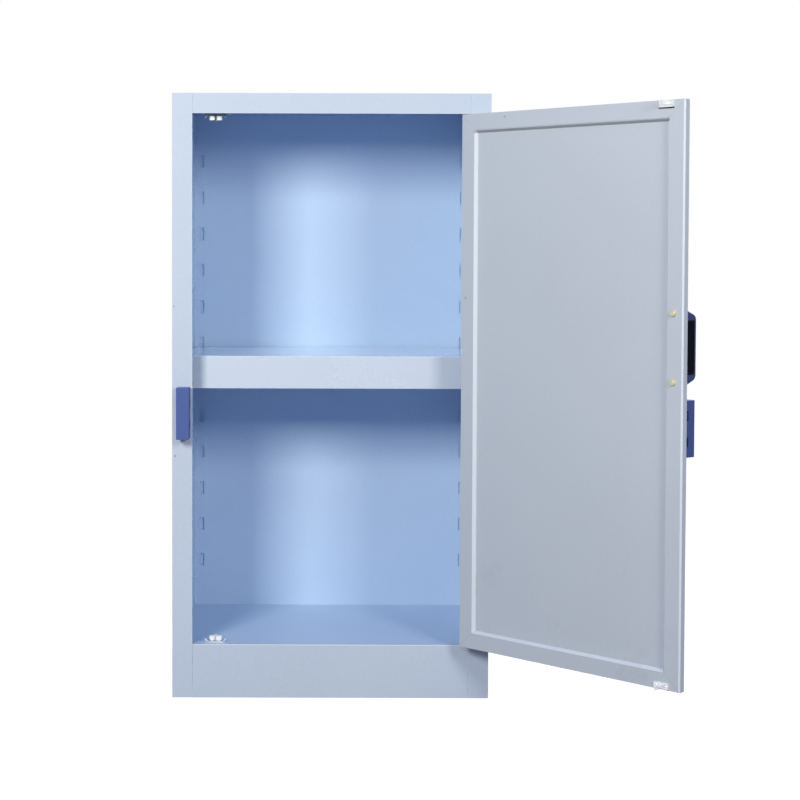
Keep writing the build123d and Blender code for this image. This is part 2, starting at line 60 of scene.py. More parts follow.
joints = {joint["name"]: joint for joint in frame["joints"]}
HINGE_POINT = Vector(joints["door_hinge"]["pos_m"])
OPEN_ANGLE = -math.radians(joints["door_hinge"]["range_deg"][0])
TO_OPEN = (
    Matrix.Translation(HINGE_POINT)
    @ Matrix.Rotation(OPEN_ANGLE, 4, "Z")
    @ Matrix.Translation(-HINGE_POINT)
)


# ---- Sizes of the CAD model -----------------------------------------------------------------

WIDTH, DEPTH, HEIGHT = 0.472, 0.336, 0.900
SHEET_T = 0.010               # the carcass's panels, and the door with its border
STILE_W = 0.030
RAIL_H = 0.030
PLINTH_H = 0.080

DOOR_SIDE_GAP, DOOR_TOP_GAP, DOOR_LOW_GAP = 0.0035, 0.003, 0.004
DOOR_SHEET_T = 0.005          # the outer sheet, without the border
BORDER_SIDE_W, BORDER_END_W, BEVEL_W = 0.026, 0.023, 0.0038

HANDLE_Z = 0.5402
HANDLE_REACH = 0.028
HANDLE_BAR_T = 0.004
HANDLE_GAP_HALF = 0.0362      # half the height of the finger gap

CATCH_FROM_OPENING = 0.0335   # from the opening's left side to the middle of catch and strike

OUTER_X = WIDTH / 2
INNER_X = OUTER_X - SHEET_T
OPENING_X = OUTER_X - STILE_W
FRONT_Y, BACK_Y = -DEPTH / 2, DEPTH / 2
FRAME_BACK_Y = FRONT_Y + SHEET_T
BACK_FACE_Y = BACK_Y - SHEET_T
CEILING_Z = HEIGHT - SHEET_T
RAIL_LOW_Z = HEIGHT - RAIL_H
FLOOR_Z = PLINTH_H

DOOR_LEFT_X, DOOR_RIGHT_X = DOOR_SIDE_GAP - OPENING_X, OPENING_X - DOOR_SIDE_GAP
DOOR_LOW_Z, DOOR_HIGH_Z = PLINTH_H + DOOR_LOW_GAP, RAIL_LOW_Z - DOOR_TOP_GAP
DOOR_SHEET_INNER_Y = FRONT_Y + DOOR_SHEET_T
DOOR_INNER_Y = FRONT_Y + SHEET_T

TOUCH = 0.0002                # by which a mask reaches past the face that it starts on
FAR = 1.0                     # beyond every part of the cabinet


# ---- Camera ---------------------------------------------------------------------------------

# Fitted to the corners of the carcass and the door in the photograph.
CAMERA_PLACE = Vector((0.0079, -2.99369, 0.66307))
CAMERA_PITCH = -0.0396
CAMERA_ROLL = 0.0029
CAMERA_LENS, SENSOR_WIDTH = 85.8, 36.0         # mm
CAMERA_SHIFT = (0.0794, -0.0883)
CAMERA_CLIP = (0.05, 100.0)


def make_camera():
    data = bpy.data.cameras.new("camera")
    data.lens = CAMERA_LENS
    data.sensor_width = SENSOR_WIDTH
    data.shift_x, data.shift_y = CAMERA_SHIFT
    data.clip_start, data.clip_end = CAMERA_CLIP
    camera = bpy.data.objects.new("camera", data)
    camera.matrix_world = (
        Matrix.Translation(CAMERA_PLACE)
        @ Matrix.Rotation(math.pi / 2 + CAMERA_PITCH, 4, "X")
        @ Matrix.Rotation(CAMERA_ROLL, 4, "Z")
    )
    bpy.context.scene.collection.objects.link(camera)
    bpy.context.scene.camera = camera


# ---- Node helpers ---------------------------------------------------------------------------

NOISE_LOW, NOISE_HIGH = 0.3, 0.7               # between which most of a noise lies


def new_material(name):
    material = bpy.data.materials.new(name)
    material.use_nodes = True
    return material, material.node_tree, material.node_tree.nodes["Principled BSDF"]


def add(tree, kind, inputs=None, **settings):
    """A shader node. inputs maps a socket's name or number to a value or to another socket."""
    made = tree.nodes.new("ShaderNode" + kind)
    for name, value in settings.items():
        setattr(made, name, value)
    for key, value in (inputs or {}).items():
        if isinstance(value, bpy.types.NodeSocket):
            tree.links.new(value, made.inputs[key])
        else:
            made.inputs[key].default_value = value
    return made


def calc(tree, operation, a, b=0.0, c=0.0):
    return add(tree, "Math", {0: a, 1: b, 2: c}, operation=operation).outputs[0]


def chain(tree, operation, values):
    result = values[0]
    for value in values[1:]:
        result = calc(tree, operation, result, value)
    return result


def product(tree, *factors):
    return chain(tree, "MULTIPLY", factors)


def highest(tree, *values):
    return chain(tree, "MAXIMUM", values)


def within(tree, value, low, high):
    """1 where low <= value <= high."""
    return calc(tree, "COMPARE", value, (low + high) / 2, (high - low) / 2)


def remap(tree, value, from_low, from_high, to_low, to_high):
    made = add(tree, "MapRange", {0: value, 1: from_low, 2: from_high, 3: to_low, 4: to_high})
    return made.outputs[0]


def spread(tree, value, to_low, to_high):
    """A noise, stretched from its usual range to another."""
    return remap(tree, value, NOISE_LOW, NOISE_HIGH, to_low, to_high)


def blend_colour(tree, factor, a, b, mode="MIX"):
    made = add(tree, "Mix", {0: factor}, data_type="RGBA", blend_type=mode)
    for socket, value in ((made.inputs[6], a), (made.inputs[7], b)):
        if isinstance(value, bpy.types.NodeSocket):
            tree.links.new(value, socket)
        else:
            socket.default_value = (*value, 1.0)
    return made.outputs[2]


def noise(tree, place, scale, detail=2.0, roughness=0.5):
    inputs = {"Vector": place, "Scale": scale, "Detail": detail, "Roughness": roughness}
    return add(tree, "TexNoise", inputs).outputs["Fac"]


def bump(tree, height, strength, distance, normal=None):
    inputs = {"Height": height, "Strength": strength, "Distance": distance}
    if normal is not None:
        inputs["Normal"] = normal
    return add(tree, "Bump", inputs).outputs["Normal"]


def linear(*srgb):
    """Linear colour from 0-255 sRGB values."""
    def one(value):
        value /= 255
        return value / 12.92 if value <= 0.04045 else ((value + 0.055) / 1.055) ** 2.4
    return tuple(one(value) for value in srgb)


def place_of(tree, on_door=False):
    """Position and normal in the CAD frame; on the door, those of the shut door."""
    coords = add(tree, "TexCoord")
    place, normal = coords.outputs["Object"], coords.outputs["Normal"]
    if on_door:
        turned = {"Vector": place, "Center": HINGE_POINT, "Angle": -OPEN_ANGLE}
        place = add(tree, "VectorRotate", turned, rotation_type="Z_AXIS").outputs[0]
        turned = {"Vector": normal, "Angle": -OPEN_ANGLE}
        normal = add(tree, "VectorRotate", turned, rotation_type="Z_AXIS").outputs[0]
    return place, normal


def split(tree, vector):
    made = add(tree, "SeparateXYZ", {0: vector})
    return made.outputs[0], made.outputs[1], made.outputs[2]


def seen_directly(tree):
    """1 where the camera sees a surface, also in a glossy reflection or through glass."""
    path = add(tree, "LightPath").outputs
    return highest(tree, path["Is Camera Ray"], path["Is Glossy Ray"], path["Is Transmission Ray"])


# ---- Sheet plastic --------------------------------------------------------------------------

OUTSIDE_TONE = linear(199, 210, 218)
SHELF_TONE = linear(206, 216, 224)
# Painted light: the inside tone stands in for the blue light bounced between the inner faces.
INSIDE_BOUNCE_TONE = linear(199, 220, 241)
# Painted light: the shelf's inner faces are brighter, for sheen and bounced light.
SHELF_INSIDE_SHEEN_TONE = linear(238, 247, 253)
# Painted shade: a deeper blue for the faces that face down.
UNDERSIDE_SHADE_TONE = linear(140, 174, 226)
DOOR_TONE = linear(196, 203, 204)
# Pale tone of the rounded edges: partly the cut edges' own paleness, partly a painted highlight.
EDGE_WEAR_AND_HIGHLIGHT_TONE = linear(246, 250, 254)
SEAM_TONE = linear(158, 148, 132)
DIRT_TONE = linear(126, 112, 92)
# Painted shade for the edge faces round the opening.
OPENING_EDGE_SHADE_TONE = linear(84, 76, 66)
# Painted shadow under the door border's top strip.
BORDER_SHADOW_TONE = linear(96, 92, 92)
# Painted shadow under the open door's lower corner.
CORNER_SHADOW_TONE = linear(34, 32, 32)

SHEET_IOR = 1.49
SHEET_SPECULAR = 0.12         # low, so that shaded sheet keeps its blue
SHELF_SPECULAR = 0.45         # the shelf has the smoothest face
CARCASS_ROUGHNESS = 0.28
DOOR_ROUGHNESS = 0.42
SHELF_ROUGHNESS, SHELF_TOP_ROUGHNESS = 0.26, 0.08

CLOUD_SCALE, CLOUD_SHADE = 4.5, 0.015
MOTTLE_SCALE, MOTTLE_SHADE, MOTTLE_ROUGHNESS = 260.0, 0.010, 0.01
SMUDGE_SCALE, SMUDGE_ROUGHNESS = 14.0, 0.02
WAVE_SCALE, WAVE_STRENGTH, WAVE_DEPTH = 7.0, 0.06, 0.003
PEEL_SCALE, PEEL_STRENGTH, PEEL_DEPTH = 900.0, 0.10, 0.0002

# How much of the pale edge tone the rounded edges get: partly the cut edges' own paleness, partly a
# painted highlight.
CARCASS_EDGE_SHARE, SHELF_EDGE_SHARE, DOOR_EDGE_SHARE = 0.9, 0.7, 0.35
FLAT_COSINE, ROUND_COSINE = 0.985, 0.90        # between a surface and the nearest axis

UP_FROM, UP_FULL = 0.3, 0.7                    # the z of a normal that faces up
DOWN_FROM, DOWN_FULL = -0.6, -0.9              # and of one that faces down

# The unevenness along seams and mitres.
LINE_SCALE, LINE_DETAIL = 90.0, 3.0
LINE_LOW, LINE_HIGH = 0.35, 0.65


def sheet_surface(tree, bsdf, tone, place, normal, roughness):
    """Clouds, fine mottling and, on faces that don't face up, orange peel. Returns the colour."""
    clouds = noise(tree, place, CLOUD_SCALE)
    mottle = noise(tree, place, MOTTLE_SCALE)
    shade = calc(tree, "ADD", spread(tree, clouds, 1.0 - CLOUD_SHADE, 1.0 + CLOUD_SHADE),
                 spread(tree, mottle, -MOTTLE_SHADE, MOTTLE_SHADE))
    grey = add(tree, "CombineColor", {0: shade, 1: shade, 2: shade}).outputs[0]
    colour = blend_colour(tree, 1.0, tone, grey, "MULTIPLY")
    upright = remap(tree, split(tree, normal)[2], UP_FROM, UP_FULL, 1.0, 0.0)
    smudge = noise(tree, place, SMUDGE_SCALE)
    uneven = calc(tree, "ADD", spread(tree, smudge, -SMUDGE_ROUGHNESS, SMUDGE_ROUGHNESS),
                  spread(tree, mottle, -MOTTLE_ROUGHNESS, MOTTLE_ROUGHNESS))
    uneven = calc(tree, "MULTIPLY", uneven, upright)
    tree.links.new(calc(tree, "ADD", uneven, roughness), bsdf.inputs["Roughness"])
    waves = calc(tree, "MULTIPLY", noise(tree, place, WAVE_SCALE, 1.0), upright)
    peel = calc(tree, "MULTIPLY", noise(tree, place, PEEL_SCALE), upright)
    surface = bump(tree, waves, WAVE_STRENGTH, WAVE_DEPTH)
    surface = bump(tree, peel, PEEL_STRENGTH, PEEL_DEPTH, surface)
    tree.links.new(surface, bsdf.inputs["Normal"])
    bsdf.inputs["IOR"].default_value = SHEET_IOR
    bsdf.inputs["Specular IOR Level"].default_value = SHEET_SPECULAR
    return colour


def rounded_mask(tree, normal):
    """1 where the surface faces none of the three axes: the rounded and chamfered edges."""
    parts = [calc(tree, "ABSOLUTE", part) for part in split(tree, normal)]
    return remap(tree, highest(tree, *parts), FLAT_COSINE, ROUND_COSINE, 0.0, 1.0)


def pale_edges_wear_and_highlight(tree, colour, normal, share, tone=EDGE_WEAR_AND_HIGHLIGHT_TONE):
    """The colour, with a paler tone on the rounded edges: partly wear, partly a painted highlight.
    """
    edges = calc(tree, "MULTIPLY", rounded_mask(tree, normal), share)
    return blend_colour(tree, edges, colour, tone)


def underside_mask(tree, normal):
    """1 on the faces that face down."""
    return remap(tree, split(tree, normal)[2], DOWN_FROM, DOWN_FULL, 0.0, 1.0)


def uneven_line(tree, place, faint, strong):
    """How strong a seam's line is at each place."""
    patches = noise(tree, place, LINE_SCALE, LINE_DETAIL)
    return remap(tree, patches, LINE_LOW, LINE_HIGH, faint, strong)


SPECK_R = 0.035               # of a cell of the pattern
SPECK_FADE_R = 1.6 * SPECK_R


def specks(tree, place, scale, share):
    """Sparse round dirt specks: 1 inside a speck. share is how many cells have one."""
    cells = add(tree, "TexVoronoi", {"Vector": place, "Scale": scale})
    near = remap(tree, cells.outputs["Distance"], SPECK_R, SPECK_FADE_R, 1.0, 0.0)
    pick = split(tree, cells.outputs["Color"])[0]
    return product(tree, near, calc(tree, "LESS_THAN", pick, share))


# ---- Carcass --------------------------------------------------------------------------------

SLOT_REACH = 0.0065           # behind the back panel's face, past the bottom of its slots
EDGE_SHADE_FROM_FRONT = 0.0005      # where the painted shade of the edges begins, behind the front
EDGE_SHADE_OVER_W, EDGE_SHADE_OVER_SHARE = 0.0012, 0.75
EDGE_DARK_BESIDE_W, EDGE_DARK_BESIDE_SHARE = 0.0006, 0.35

# The painted shadow of the open door's lower corner is on the front of the hinge-side stile and the
# plinth board. It fades in over x, and over the height plus the slope times x.
CORNER_SHADOW_FROM_X, CORNER_SHADOW_FULL_X = 0.190, 0.206
CORNER_SHADOW_SLOPE, CORNER_SHADOW_LOW, CORNER_SHADOW_HIGH = 0.25, 0.117, 0.130
CORNER_SHADOW_OVER_FLOOR = 0.006
CORNER_SHADOW_SHARE = 0.40

SEAM_HALF = 0.0004            # half the width of a seam line
SEAM_MARGIN = 0.002           # keeps the side panels' seams off the frame and the inner faces
OUTSIDE_MARGIN = 0.0015       # keeps the frame's seam within this of the outside
SEAM_FAINT, SEAM_STRONG = 0.15, 0.6

CARCASS_SPECK_SCALE, CARCASS_SPECK_CELLS, CARCASS_SPECK_SHARE = 30.0, 0.07, 0.6


def compartment_mask(tree, side, y, z):
    """1 on the faces inside the cabinet."""
    return product(
        tree,
        within(tree, side, -FAR, INNER_X + TOUCH),
        within(tree, y, FRAME_BACK_Y - TOUCH, BACK_FACE_Y + SLOT_REACH),
        within(tree, z, FLOOR_Z - TOUCH, CEILING_Z + TOUCH),
    )


def opening_edge_shade_mask(tree, side, y, z):
    """Painted shade on the rail's underside over the opening, with a fainter dark line on the
    stiles' inner faces.
    """
    over = product(
        tree,
        within(tree, z, RAIL_LOW_Z - TOUCH, RAIL_LOW_Z + EDGE_SHADE_OVER_W),
        within(tree, side, -FAR, OPENING_X),
        EDGE_SHADE_OVER_SHARE,
    )
    beside = product(
        tree,
        within(tree, side, OPENING_X - TOUCH, OPENING_X + EDGE_DARK_BESIDE_W),
        within(tree, z, FLOOR_Z, RAIL_LOW_Z),
        EDGE_DARK_BESIDE_SHARE,
    )
    in_frame = within(tree, y, FRONT_Y + EDGE_SHADE_FROM_FRONT, FRAME_BACK_Y)
    return product(tree, highest(tree, over, beside), in_frame)


def door_corner_shadow_mask(tree, x, y, z):
    """Painted shadow of the open door's lower corner on the stile and the plinth board."""
    level = calc(tree, "MULTIPLY_ADD", x, CORNER_SHADOW_SLOPE, z)
    return product(
        tree,
        remap(tree, x, CORNER_SHADOW_FROM_X, CORNER_SHADOW_FULL_X, 0.0, 1.0),
        remap(tree, level, CORNER_SHADOW_LOW, CORNER_SHADOW_HIGH, 0.0, 1.0),
        within(tree, z, -FAR, FLOOR_Z + CORNER_SHADOW_OVER_FLOOR),
        within(tree, y, -FAR, FRONT_Y + TOUCH),
        CORNER_SHADOW_SHARE,
    )


def carcass_seam_mask(tree, side, y, z):
    """The seams of the stiles, of the side panels and of the frame as a whole."""
    stile_seam = product(
        tree,
        within(tree, y, -FAR, FRAME_BACK_Y),
        within(tree, side, OPENING_X - SEAM_HALF, OPENING_X + SEAM_HALF),
        highest(tree, within(tree, z, RAIL_LOW_Z, FAR), within(tree, z, -FAR, FLOOR_Z)),
    )
    on_top = within(tree, z, CEILING_Z + SEAM_MARGIN, FAR)
    on_back = within(tree, y, BACK_Y - SEAM_MARGIN, FAR)
    side_seam = product(
        tree,
        within(tree, y, FRAME_BACK_Y + SEAM_MARGIN, FAR),
        within(tree, side, INNER_X - SEAM_HALF, INNER_X + SEAM_HALF),
        highest(tree, on_top, on_back),
    )
    on_top = within(tree, z, HEIGHT - OUTSIDE_MARGIN, FAR)
    on_side = within(tree, side, OUTER_X - OUTSIDE_MARGIN, FAR)
    frame_seam = product(
        tree,
        within(tree, y, FRAME_BACK_Y - SEAM_HALF, FRAME_BACK_Y + SEAM_HALF),
        highest(tree, on_top, on_side),
    )
    return highest(tree, stile_seam, side_seam, frame_seam)


def carcass_material():
    material, tree, bsdf = new_material("carcass_sheet")
    place, normal = place_of(tree)
    x, y, z = split(tree, place)
    side = calc(tree, "ABSOLUTE", x)
    inside = compartment_mask(tree, side, y, z)
    ceiling = product(tree, inside, underside_mask(tree, normal))
    # Painted light: the faces inside take a bluer tone that stands in for light bounced between
    # them.
    tone = blend_colour(tree, inside, OUTSIDE_TONE, INSIDE_BOUNCE_TONE)
    # Painted shade: the inside faces that face down take a deeper blue.
    tone = blend_colour(tree, ceiling, tone, UNDERSIDE_SHADE_TONE)
    colour = sheet_surface(tree, bsdf, tone, place, normal, CARCASS_ROUGHNESS)
    # Rounded edges: a paler tone, partly wear, partly a painted highlight.
    colour = pale_edges_wear_and_highlight(tree, colour, normal, CARCASS_EDGE_SHARE)
    # Painted shade on the edge faces round the opening.
    colour = blend_colour(tree, opening_edge_shade_mask(tree, side, y, z), colour, OPENING_EDGE_SHADE_TONE)
    # Painted shadow of the open door's lower corner.
    colour = blend_colour(tree, door_corner_shadow_mask(tree, x, y, z), colour, CORNER_SHADOW_TONE)
    line = uneven_line(tree, place, SEAM_FAINT, SEAM_STRONG)
    seam = product(tree, carcass_seam_mask(tree, side, y, z), line)
    colour = blend_colour(tree, seam, colour, SEAM_TONE)
    dots = specks(tree, place, CARCASS_SPECK_SCALE, CARCASS_SPECK_CELLS)
    outside = calc(tree, "SUBTRACT", 1.0, inside)
    dots = product(tree, dots, outside, CARCASS_SPECK_SHARE)
    colour = blend_colour(tree, dots, colour, DIRT_TONE)
    tree.links.new(colour, bsdf.inputs["Base Color"])
    return material


# ---- Shelf ----------------------------------------------------------------------------------

FASCIA_FULL, FASCIA_NONE = -0.6, -0.3          # the y of a normal that faces the front
POLISH_FROM, POLISH_FULL = 0.7, 0.95           # the z of a normal on the polished top


def shelf_material():
    """Pale grey on the front of the fascia; on the faces inside the cabinet, a brighter tone that is
    painted sheen and bounced light, and painted shade on the underside.
    """
    material, tree, bsdf = new_material("shelf_sheet")
    place, normal = place_of(tree)
    _, backwards, upwards = split(tree, normal)
    inside = remap(tree, backwards, FASCIA_FULL, FASCIA_NONE, 0.0, 1.0)
    # Painted light: the faces inside are brighter, for sheen and bounced light.
    tone = blend_colour(tree, inside, SHELF_TONE, SHELF_INSIDE_SHEEN_TONE)
    # Painted shade on the shelf's underside.
    tone = blend_colour(tree, underside_mask(tree, normal), tone, UNDERSIDE_SHADE_TONE)
    roughness = remap(
        tree, upwards, POLISH_FROM, POLISH_FULL, SHELF_ROUGHNESS, SHELF_TOP_ROUGHNESS
    )
    colour = sheet_surface(tree, bsdf, tone, place, normal, roughness)
    bsdf.inputs["Specular IOR Level"].default_value = SHELF_SPECULAR
    # Rounded edges: a paler tone, partly wear, partly a painted highlight.
    colour = pale_edges_wear_and_highlight(tree, colour, normal, SHELF_EDGE_SHARE)
    tree.links.new(colour, bsdf.inputs["Base Color"])
    return material


# ---- Door -----------------------------------------------------------------------------------

MITRE_HALF = 0.0006           # half the width of a mitre line
MITRE_FAINT, MITRE_STRONG = 0.1, 0.5

# Painted shadow from part-way down the slope of the border's top strip to just past its foot.
BORDER_SHADOW_FROM, BORDER_SHADOW_PAST, BORDER_SHADOW_SIDE_REACH = 0.0014, 0.0012, 0.001
BORDER_SHADOW_SHARE = 0.55

DOOR_SPECK_SCALE, DOOR_SPECK_CELLS, DOOR_SPECK_SHARE = 26.0, 0.06, 0.5

STAIN_SCALE, STAIN_DETAIL, STAIN_ROUGHNESS = 11.0, 5.0, 0.65
STAIN_FROM, STAIN_FULL, STAIN_SHARE = 0.62, 0.75, 0.12
STAIN_FULL_Z, STAIN_FAINT_Z, STAIN_FAINT = 0.10, 0.45, 0.2


def mitre_mask(tree, from_side, from_end, inner):
    """The joints of the border's strips, which run from the corners inwards."""
    slant = calc(tree, "MULTIPLY", from_end, BORDER_SIDE_W / BORDER_END_W)
    return product(
        tree,
        within(tree, calc(tree, "SUBTRACT", slant, from_side), -MITRE_HALF, MITRE_HALF),
        within(tree, from_side, -FAR, BORDER_SIDE_W + BEVEL_W),
        inner,
    )


def border_shadow_mask(tree, from_side, from_top, inner):
    """Painted shadow in the corner under the slope of the border's top strip."""
    return product(
        tree,
        within(tree, from_side, BORDER_SIDE_W - BORDER_SHADOW_SIDE_REACH, FAR),
        within(tree, from_top, BORDER_END_W + BORDER_SHADOW_FROM, BORDER_END_W + BEVEL_W + BORDER_SHADOW_PAST),
        inner,
        BORDER_SHADOW_SHARE,
    )


def door_material():
    material, tree, bsdf = new_material("door_sheet")
    place, normal = place_of(tree, on_door=True)
    x, y, z = split(tree, place)
    from_left = calc(tree, "SUBTRACT", x, DOOR_LEFT_X)
    from_right = calc(tree, "SUBTRACT", DOOR_RIGHT_X, x)
    from_side = calc(tree, "MINIMUM", from_left, from_right)
    from_low = calc(tree, "SUBTRACT", z, DOOR_LOW_Z)
    from_top = calc(tree, "SUBTRACT", DOOR_HIGH_Z, z)
    from_end = calc(tree, "MINIMUM", from_low, from_top)
    inner = within(tree, y, DOOR_SHEET_INNER_Y - TOUCH, FAR)
    colour = sheet_surface(tree, bsdf, DOOR_TONE, place, normal, DOOR_ROUGHNESS)
    # Rounded edges: a paler tone, partly wear, partly a painted highlight.
    colour = pale_edges_wear_and_highlight(tree, colour, normal, DOOR_EDGE_SHARE)
    line = uneven_line(tree, place, MITRE_FAINT, MITRE_STRONG)
    mitre = product(tree, mitre_mask(tree, from_side, from_end, inner), line)
    colour = blend_colour(tree, mitre, colour, SEAM_TONE)
    # Painted shadow under the border's top strip.
    colour = blend_colour(tree, border_shadow_mask(tree, from_side, from_top, inner), colour, BORDER_SHADOW_TONE)
    dots = specks(tree, place, DOOR_SPECK_SCALE, DOOR_SPECK_CELLS)
    colour = blend_colour(tree, calc(tree, "MULTIPLY", dots, DOOR_SPECK_SHARE), colour, DIRT_TONE)
    blots = noise(tree, place, STAIN_SCALE, STAIN_DETAIL, STAIN_ROUGHNESS)
    stain = remap(tree, blots, STAIN_FROM, STAIN_FULL, 0.0, STAIN_SHARE)
    low = remap(tree, z, STAIN_FAINT_Z, STAIN_FULL_Z, STAIN_FAINT, 1.0)
    colour = blend_colour(tree, product(tree, stain, low), colour, DIRT_TONE)
    tree.links.new(colour, bsdf.inputs["Base Color"])
    return material


# ---- Fittings -------------------------------------------------------------------------------

STILE_BLUE = linear(79, 99, 153)
# Painted shade: the door's and the handle's blues are darker copies of the stile's blue.
DOOR_SHADED_BLUE = linear(64, 84, 138)
HANDLE_SHADED_BLUE = linear(46, 60, 108)
# Painted shade: the near-black of the handle's finger gap.
HANDLE_GAP_SHADE_BLUE = linear(10, 14, 30)
BLUE_IOR, BLUE_SPECULAR = 1.5, 0.2
BLUE_CLOUD_SCALE, BLUE_CLOUD_SHARE, BLUE_CLOUD_SHADE = 30.0, 0.22, 0.9
BLUE_GRAIN_SCALE, BLUE_GRAIN_STRENGTH, BLUE_GRAIN_DEPTH = 1400.0, 0.2, 0.0002
BLUE_ROUGHNESS = (0.34, 0.46)
WORN_SHADE, WORN_SHARE = 1.35, 0.35
HANDLE_TOUCH = 0.0003         # as TOUCH, for the inner face of the handle's bar

STEEL_TONE, STEEL_PATCH_TONE = linear(232, 234, 236), linear(204, 208, 212)
# Painted shade: a darker copy of the steel, for the upper catch.
SHADED_STEEL_TONE, SHADED_STEEL_PATCH_TONE = linear(92, 104, 122), linear(70, 80, 98)
# Painted shadow: the near-black steel of the strips along the strikes' plates.
STRIKE_SHADOW_TONE, STRIKE_SHADOW_PATCH_TONE = linear(78, 74, 72), linear(40, 38, 36)
STEEL_BRUSHING = (60.0, 60.0, 900.0)           # finest along z
STEEL_BRUSH_STRENGTH, STEEL_BRUSH_DEPTH = 0.15, 0.0001
STEEL_PATCH_SCALE = 120.0
STEEL_ROUGHNESS = (0.24, 0.42)
STEEL_METALLIC = 0.9

ROLLER_TONE, ROLLER_PATCH_TONE = linear(250, 251, 252), linear(244, 246, 248)
CAP_TONE, CAP_PATCH_TONE = linear(212, 205, 164), linear(206, 198, 154)
ROLLER_ROUGHNESS, CAP_ROUGHNESS = 0.55, 0.35
MOULDED_PATCH_SCALE, MOULDED_GRAIN_SCALE = 180.0, 2600.0
YELLOW_FROM, YELLOW_FULL = 0.35, 0.7
MOULDED_SMOOTHER, MOULDED_ROUGHER = 0.05, 0.08
MOULDED_GRAIN_STRENGTH, MOULDED_GRAIN_DEPTH = 0.1, 0.0001
MOULDED_SUBSURFACE, MOULDED_SUBSURFACE_SCALE = 0.08, 0.002


def finger_gap_mask(tree, place):
    """1 on the handle's faces round its finger gap."""
    _, y, z = split(tree, place)
    from_middle = calc(tree, "ABSOLUTE", calc(tree, "SUBTRACT", z, HANDLE_Z))
    bar_inner_y = FRONT_Y - HANDLE_REACH + HANDLE_BAR_T
    return product(
        tree,
        within(tree, from_middle, -FAR, HANDLE_GAP_HALF + TOUCH),
        within(tree, y, bar_inner_y - HANDLE_TOUCH, FAR),
    )


def blue_material(name, tone, on_door, gap_shade_tone=None):
    """Grained blue plastic. On the handle, the faces of the finger gap take a painted near-black
    shade.
    """
    material, tree, bsdf = new_material(name)
    place, normal = place_of(tree, on_door)
    clouds = spread(tree, noise(tree, place, BLUE_CLOUD_SCALE, 3.0), 0.0, BLUE_CLOUD_SHARE)
    grain = noise(tree, place, BLUE_GRAIN_SCALE)
    shaded = tuple(BLUE_CLOUD_SHADE * part for part in tone)
    worn = tuple(WORN_SHADE * part for part in tone)
    colour = blend_colour(tree, clouds, tone, shaded)
    colour = pale_edges_wear_and_highlight(tree, colour, normal, WORN_SHARE, worn)
    # Painted shade on the faces round the handle's finger gap.
    if gap_shade_tone is not None:
        colour = blend_colour(tree, finger_gap_mask(tree, place), colour, gap_shade_tone)
    tree.links.new(colour, bsdf.inputs["Base Color"])
    tree.links.new(spread(tree, grain, *BLUE_ROUGHNESS), bsdf.inputs["Roughness"])
    surface = bump(tree, grain, BLUE_GRAIN_STRENGTH, BLUE_GRAIN_DEPTH)
    tree.links.new(surface, bsdf.inputs["Normal"])
    bsdf.inputs["IOR"].default_value = BLUE_IOR
    bsdf.inputs["Specular IOR Level"].default_value = BLUE_SPECULAR
    return material


def steel_material(name, tone, patch_tone):
    """Brushed steel with patches of a duller tone."""
    material, tree, bsdf = new_material(name)
    place, _ = place_of(tree)
    stretched = add(tree, "Mapping", {"Vector": place, "Scale": STEEL_BRUSHING}).outputs[0]
    brushing = noise(tree, stretched, 1.0, 3.0)
    patches = noise(tree, place, STEEL_PATCH_SCALE, 3.0)
    colour = blend_colour(tree, patches, tone, patch_tone)
    tree.links.new(colour, bsdf.inputs["Base Color"])
    tree.links.new(spread(tree, brushing, *STEEL_ROUGHNESS), bsdf.inputs["Roughness"])
    surface = bump(tree, brushing, STEEL_BRUSH_STRENGTH, STEEL_BRUSH_DEPTH)
    tree.links.new(surface, bsdf.inputs["Normal"])
    bsdf.inputs["Metallic"].default_value = STEEL_METALLIC
    return material


def moulded_material(name, tone, patch_tone, roughness):
    """Small glossy mouldings: slight yellowing in patches and fine grain."""
    material, tree, bsdf = new_material(name)
    place, _ = place_of(tree)
    patches = noise(tree, place, MOULDED_PATCH_SCALE, 3.0)
    grain = noise(tree, place, MOULDED_GRAIN_SCALE)
    yellowed = remap(tree, patches, YELLOW_FROM, YELLOW_FULL, 0.0, 1.0)
    colour = blend_colour(tree, yellowed, tone, patch_tone)
    tree.links.new(colour, bsdf.inputs["Base Color"])
    uneven = spread(tree, patches, roughness - MOULDED_SMOOTHER, roughness + MOULDED_ROUGHER)
    tree.links.new(uneven, bsdf.inputs["Roughness"])
    surface = bump(tree, grain, MOULDED_GRAIN_STRENGTH, MOULDED_GRAIN_DEPTH)
    tree.links.new(surface, bsdf.inputs["Normal"])
    bsdf.inputs["Subsurface Weight"].default_value = MOULDED_SUBSURFACE
    bsdf.inputs["Subsurface Scale"].default_value = MOULDED_SUBSURFACE_SCALE
    return material


# ---- Materials of the nodes -----------------------------------------------------------------

# Nodes that look different from the rest of their slot, through painted shade: the handle is a
# darker copy of the blue than the hasp blocks, and the upper catch a darker copy of the steel than
# the lower one.
OWN_FINISH = {
    "door_handle": "blue_handle_shaded",
    "upper_catch_base": "shaded_steel",
    "upper_catch_pins": "shaded_steel",
    "upper_catch_screws": "shaded_steel",
}


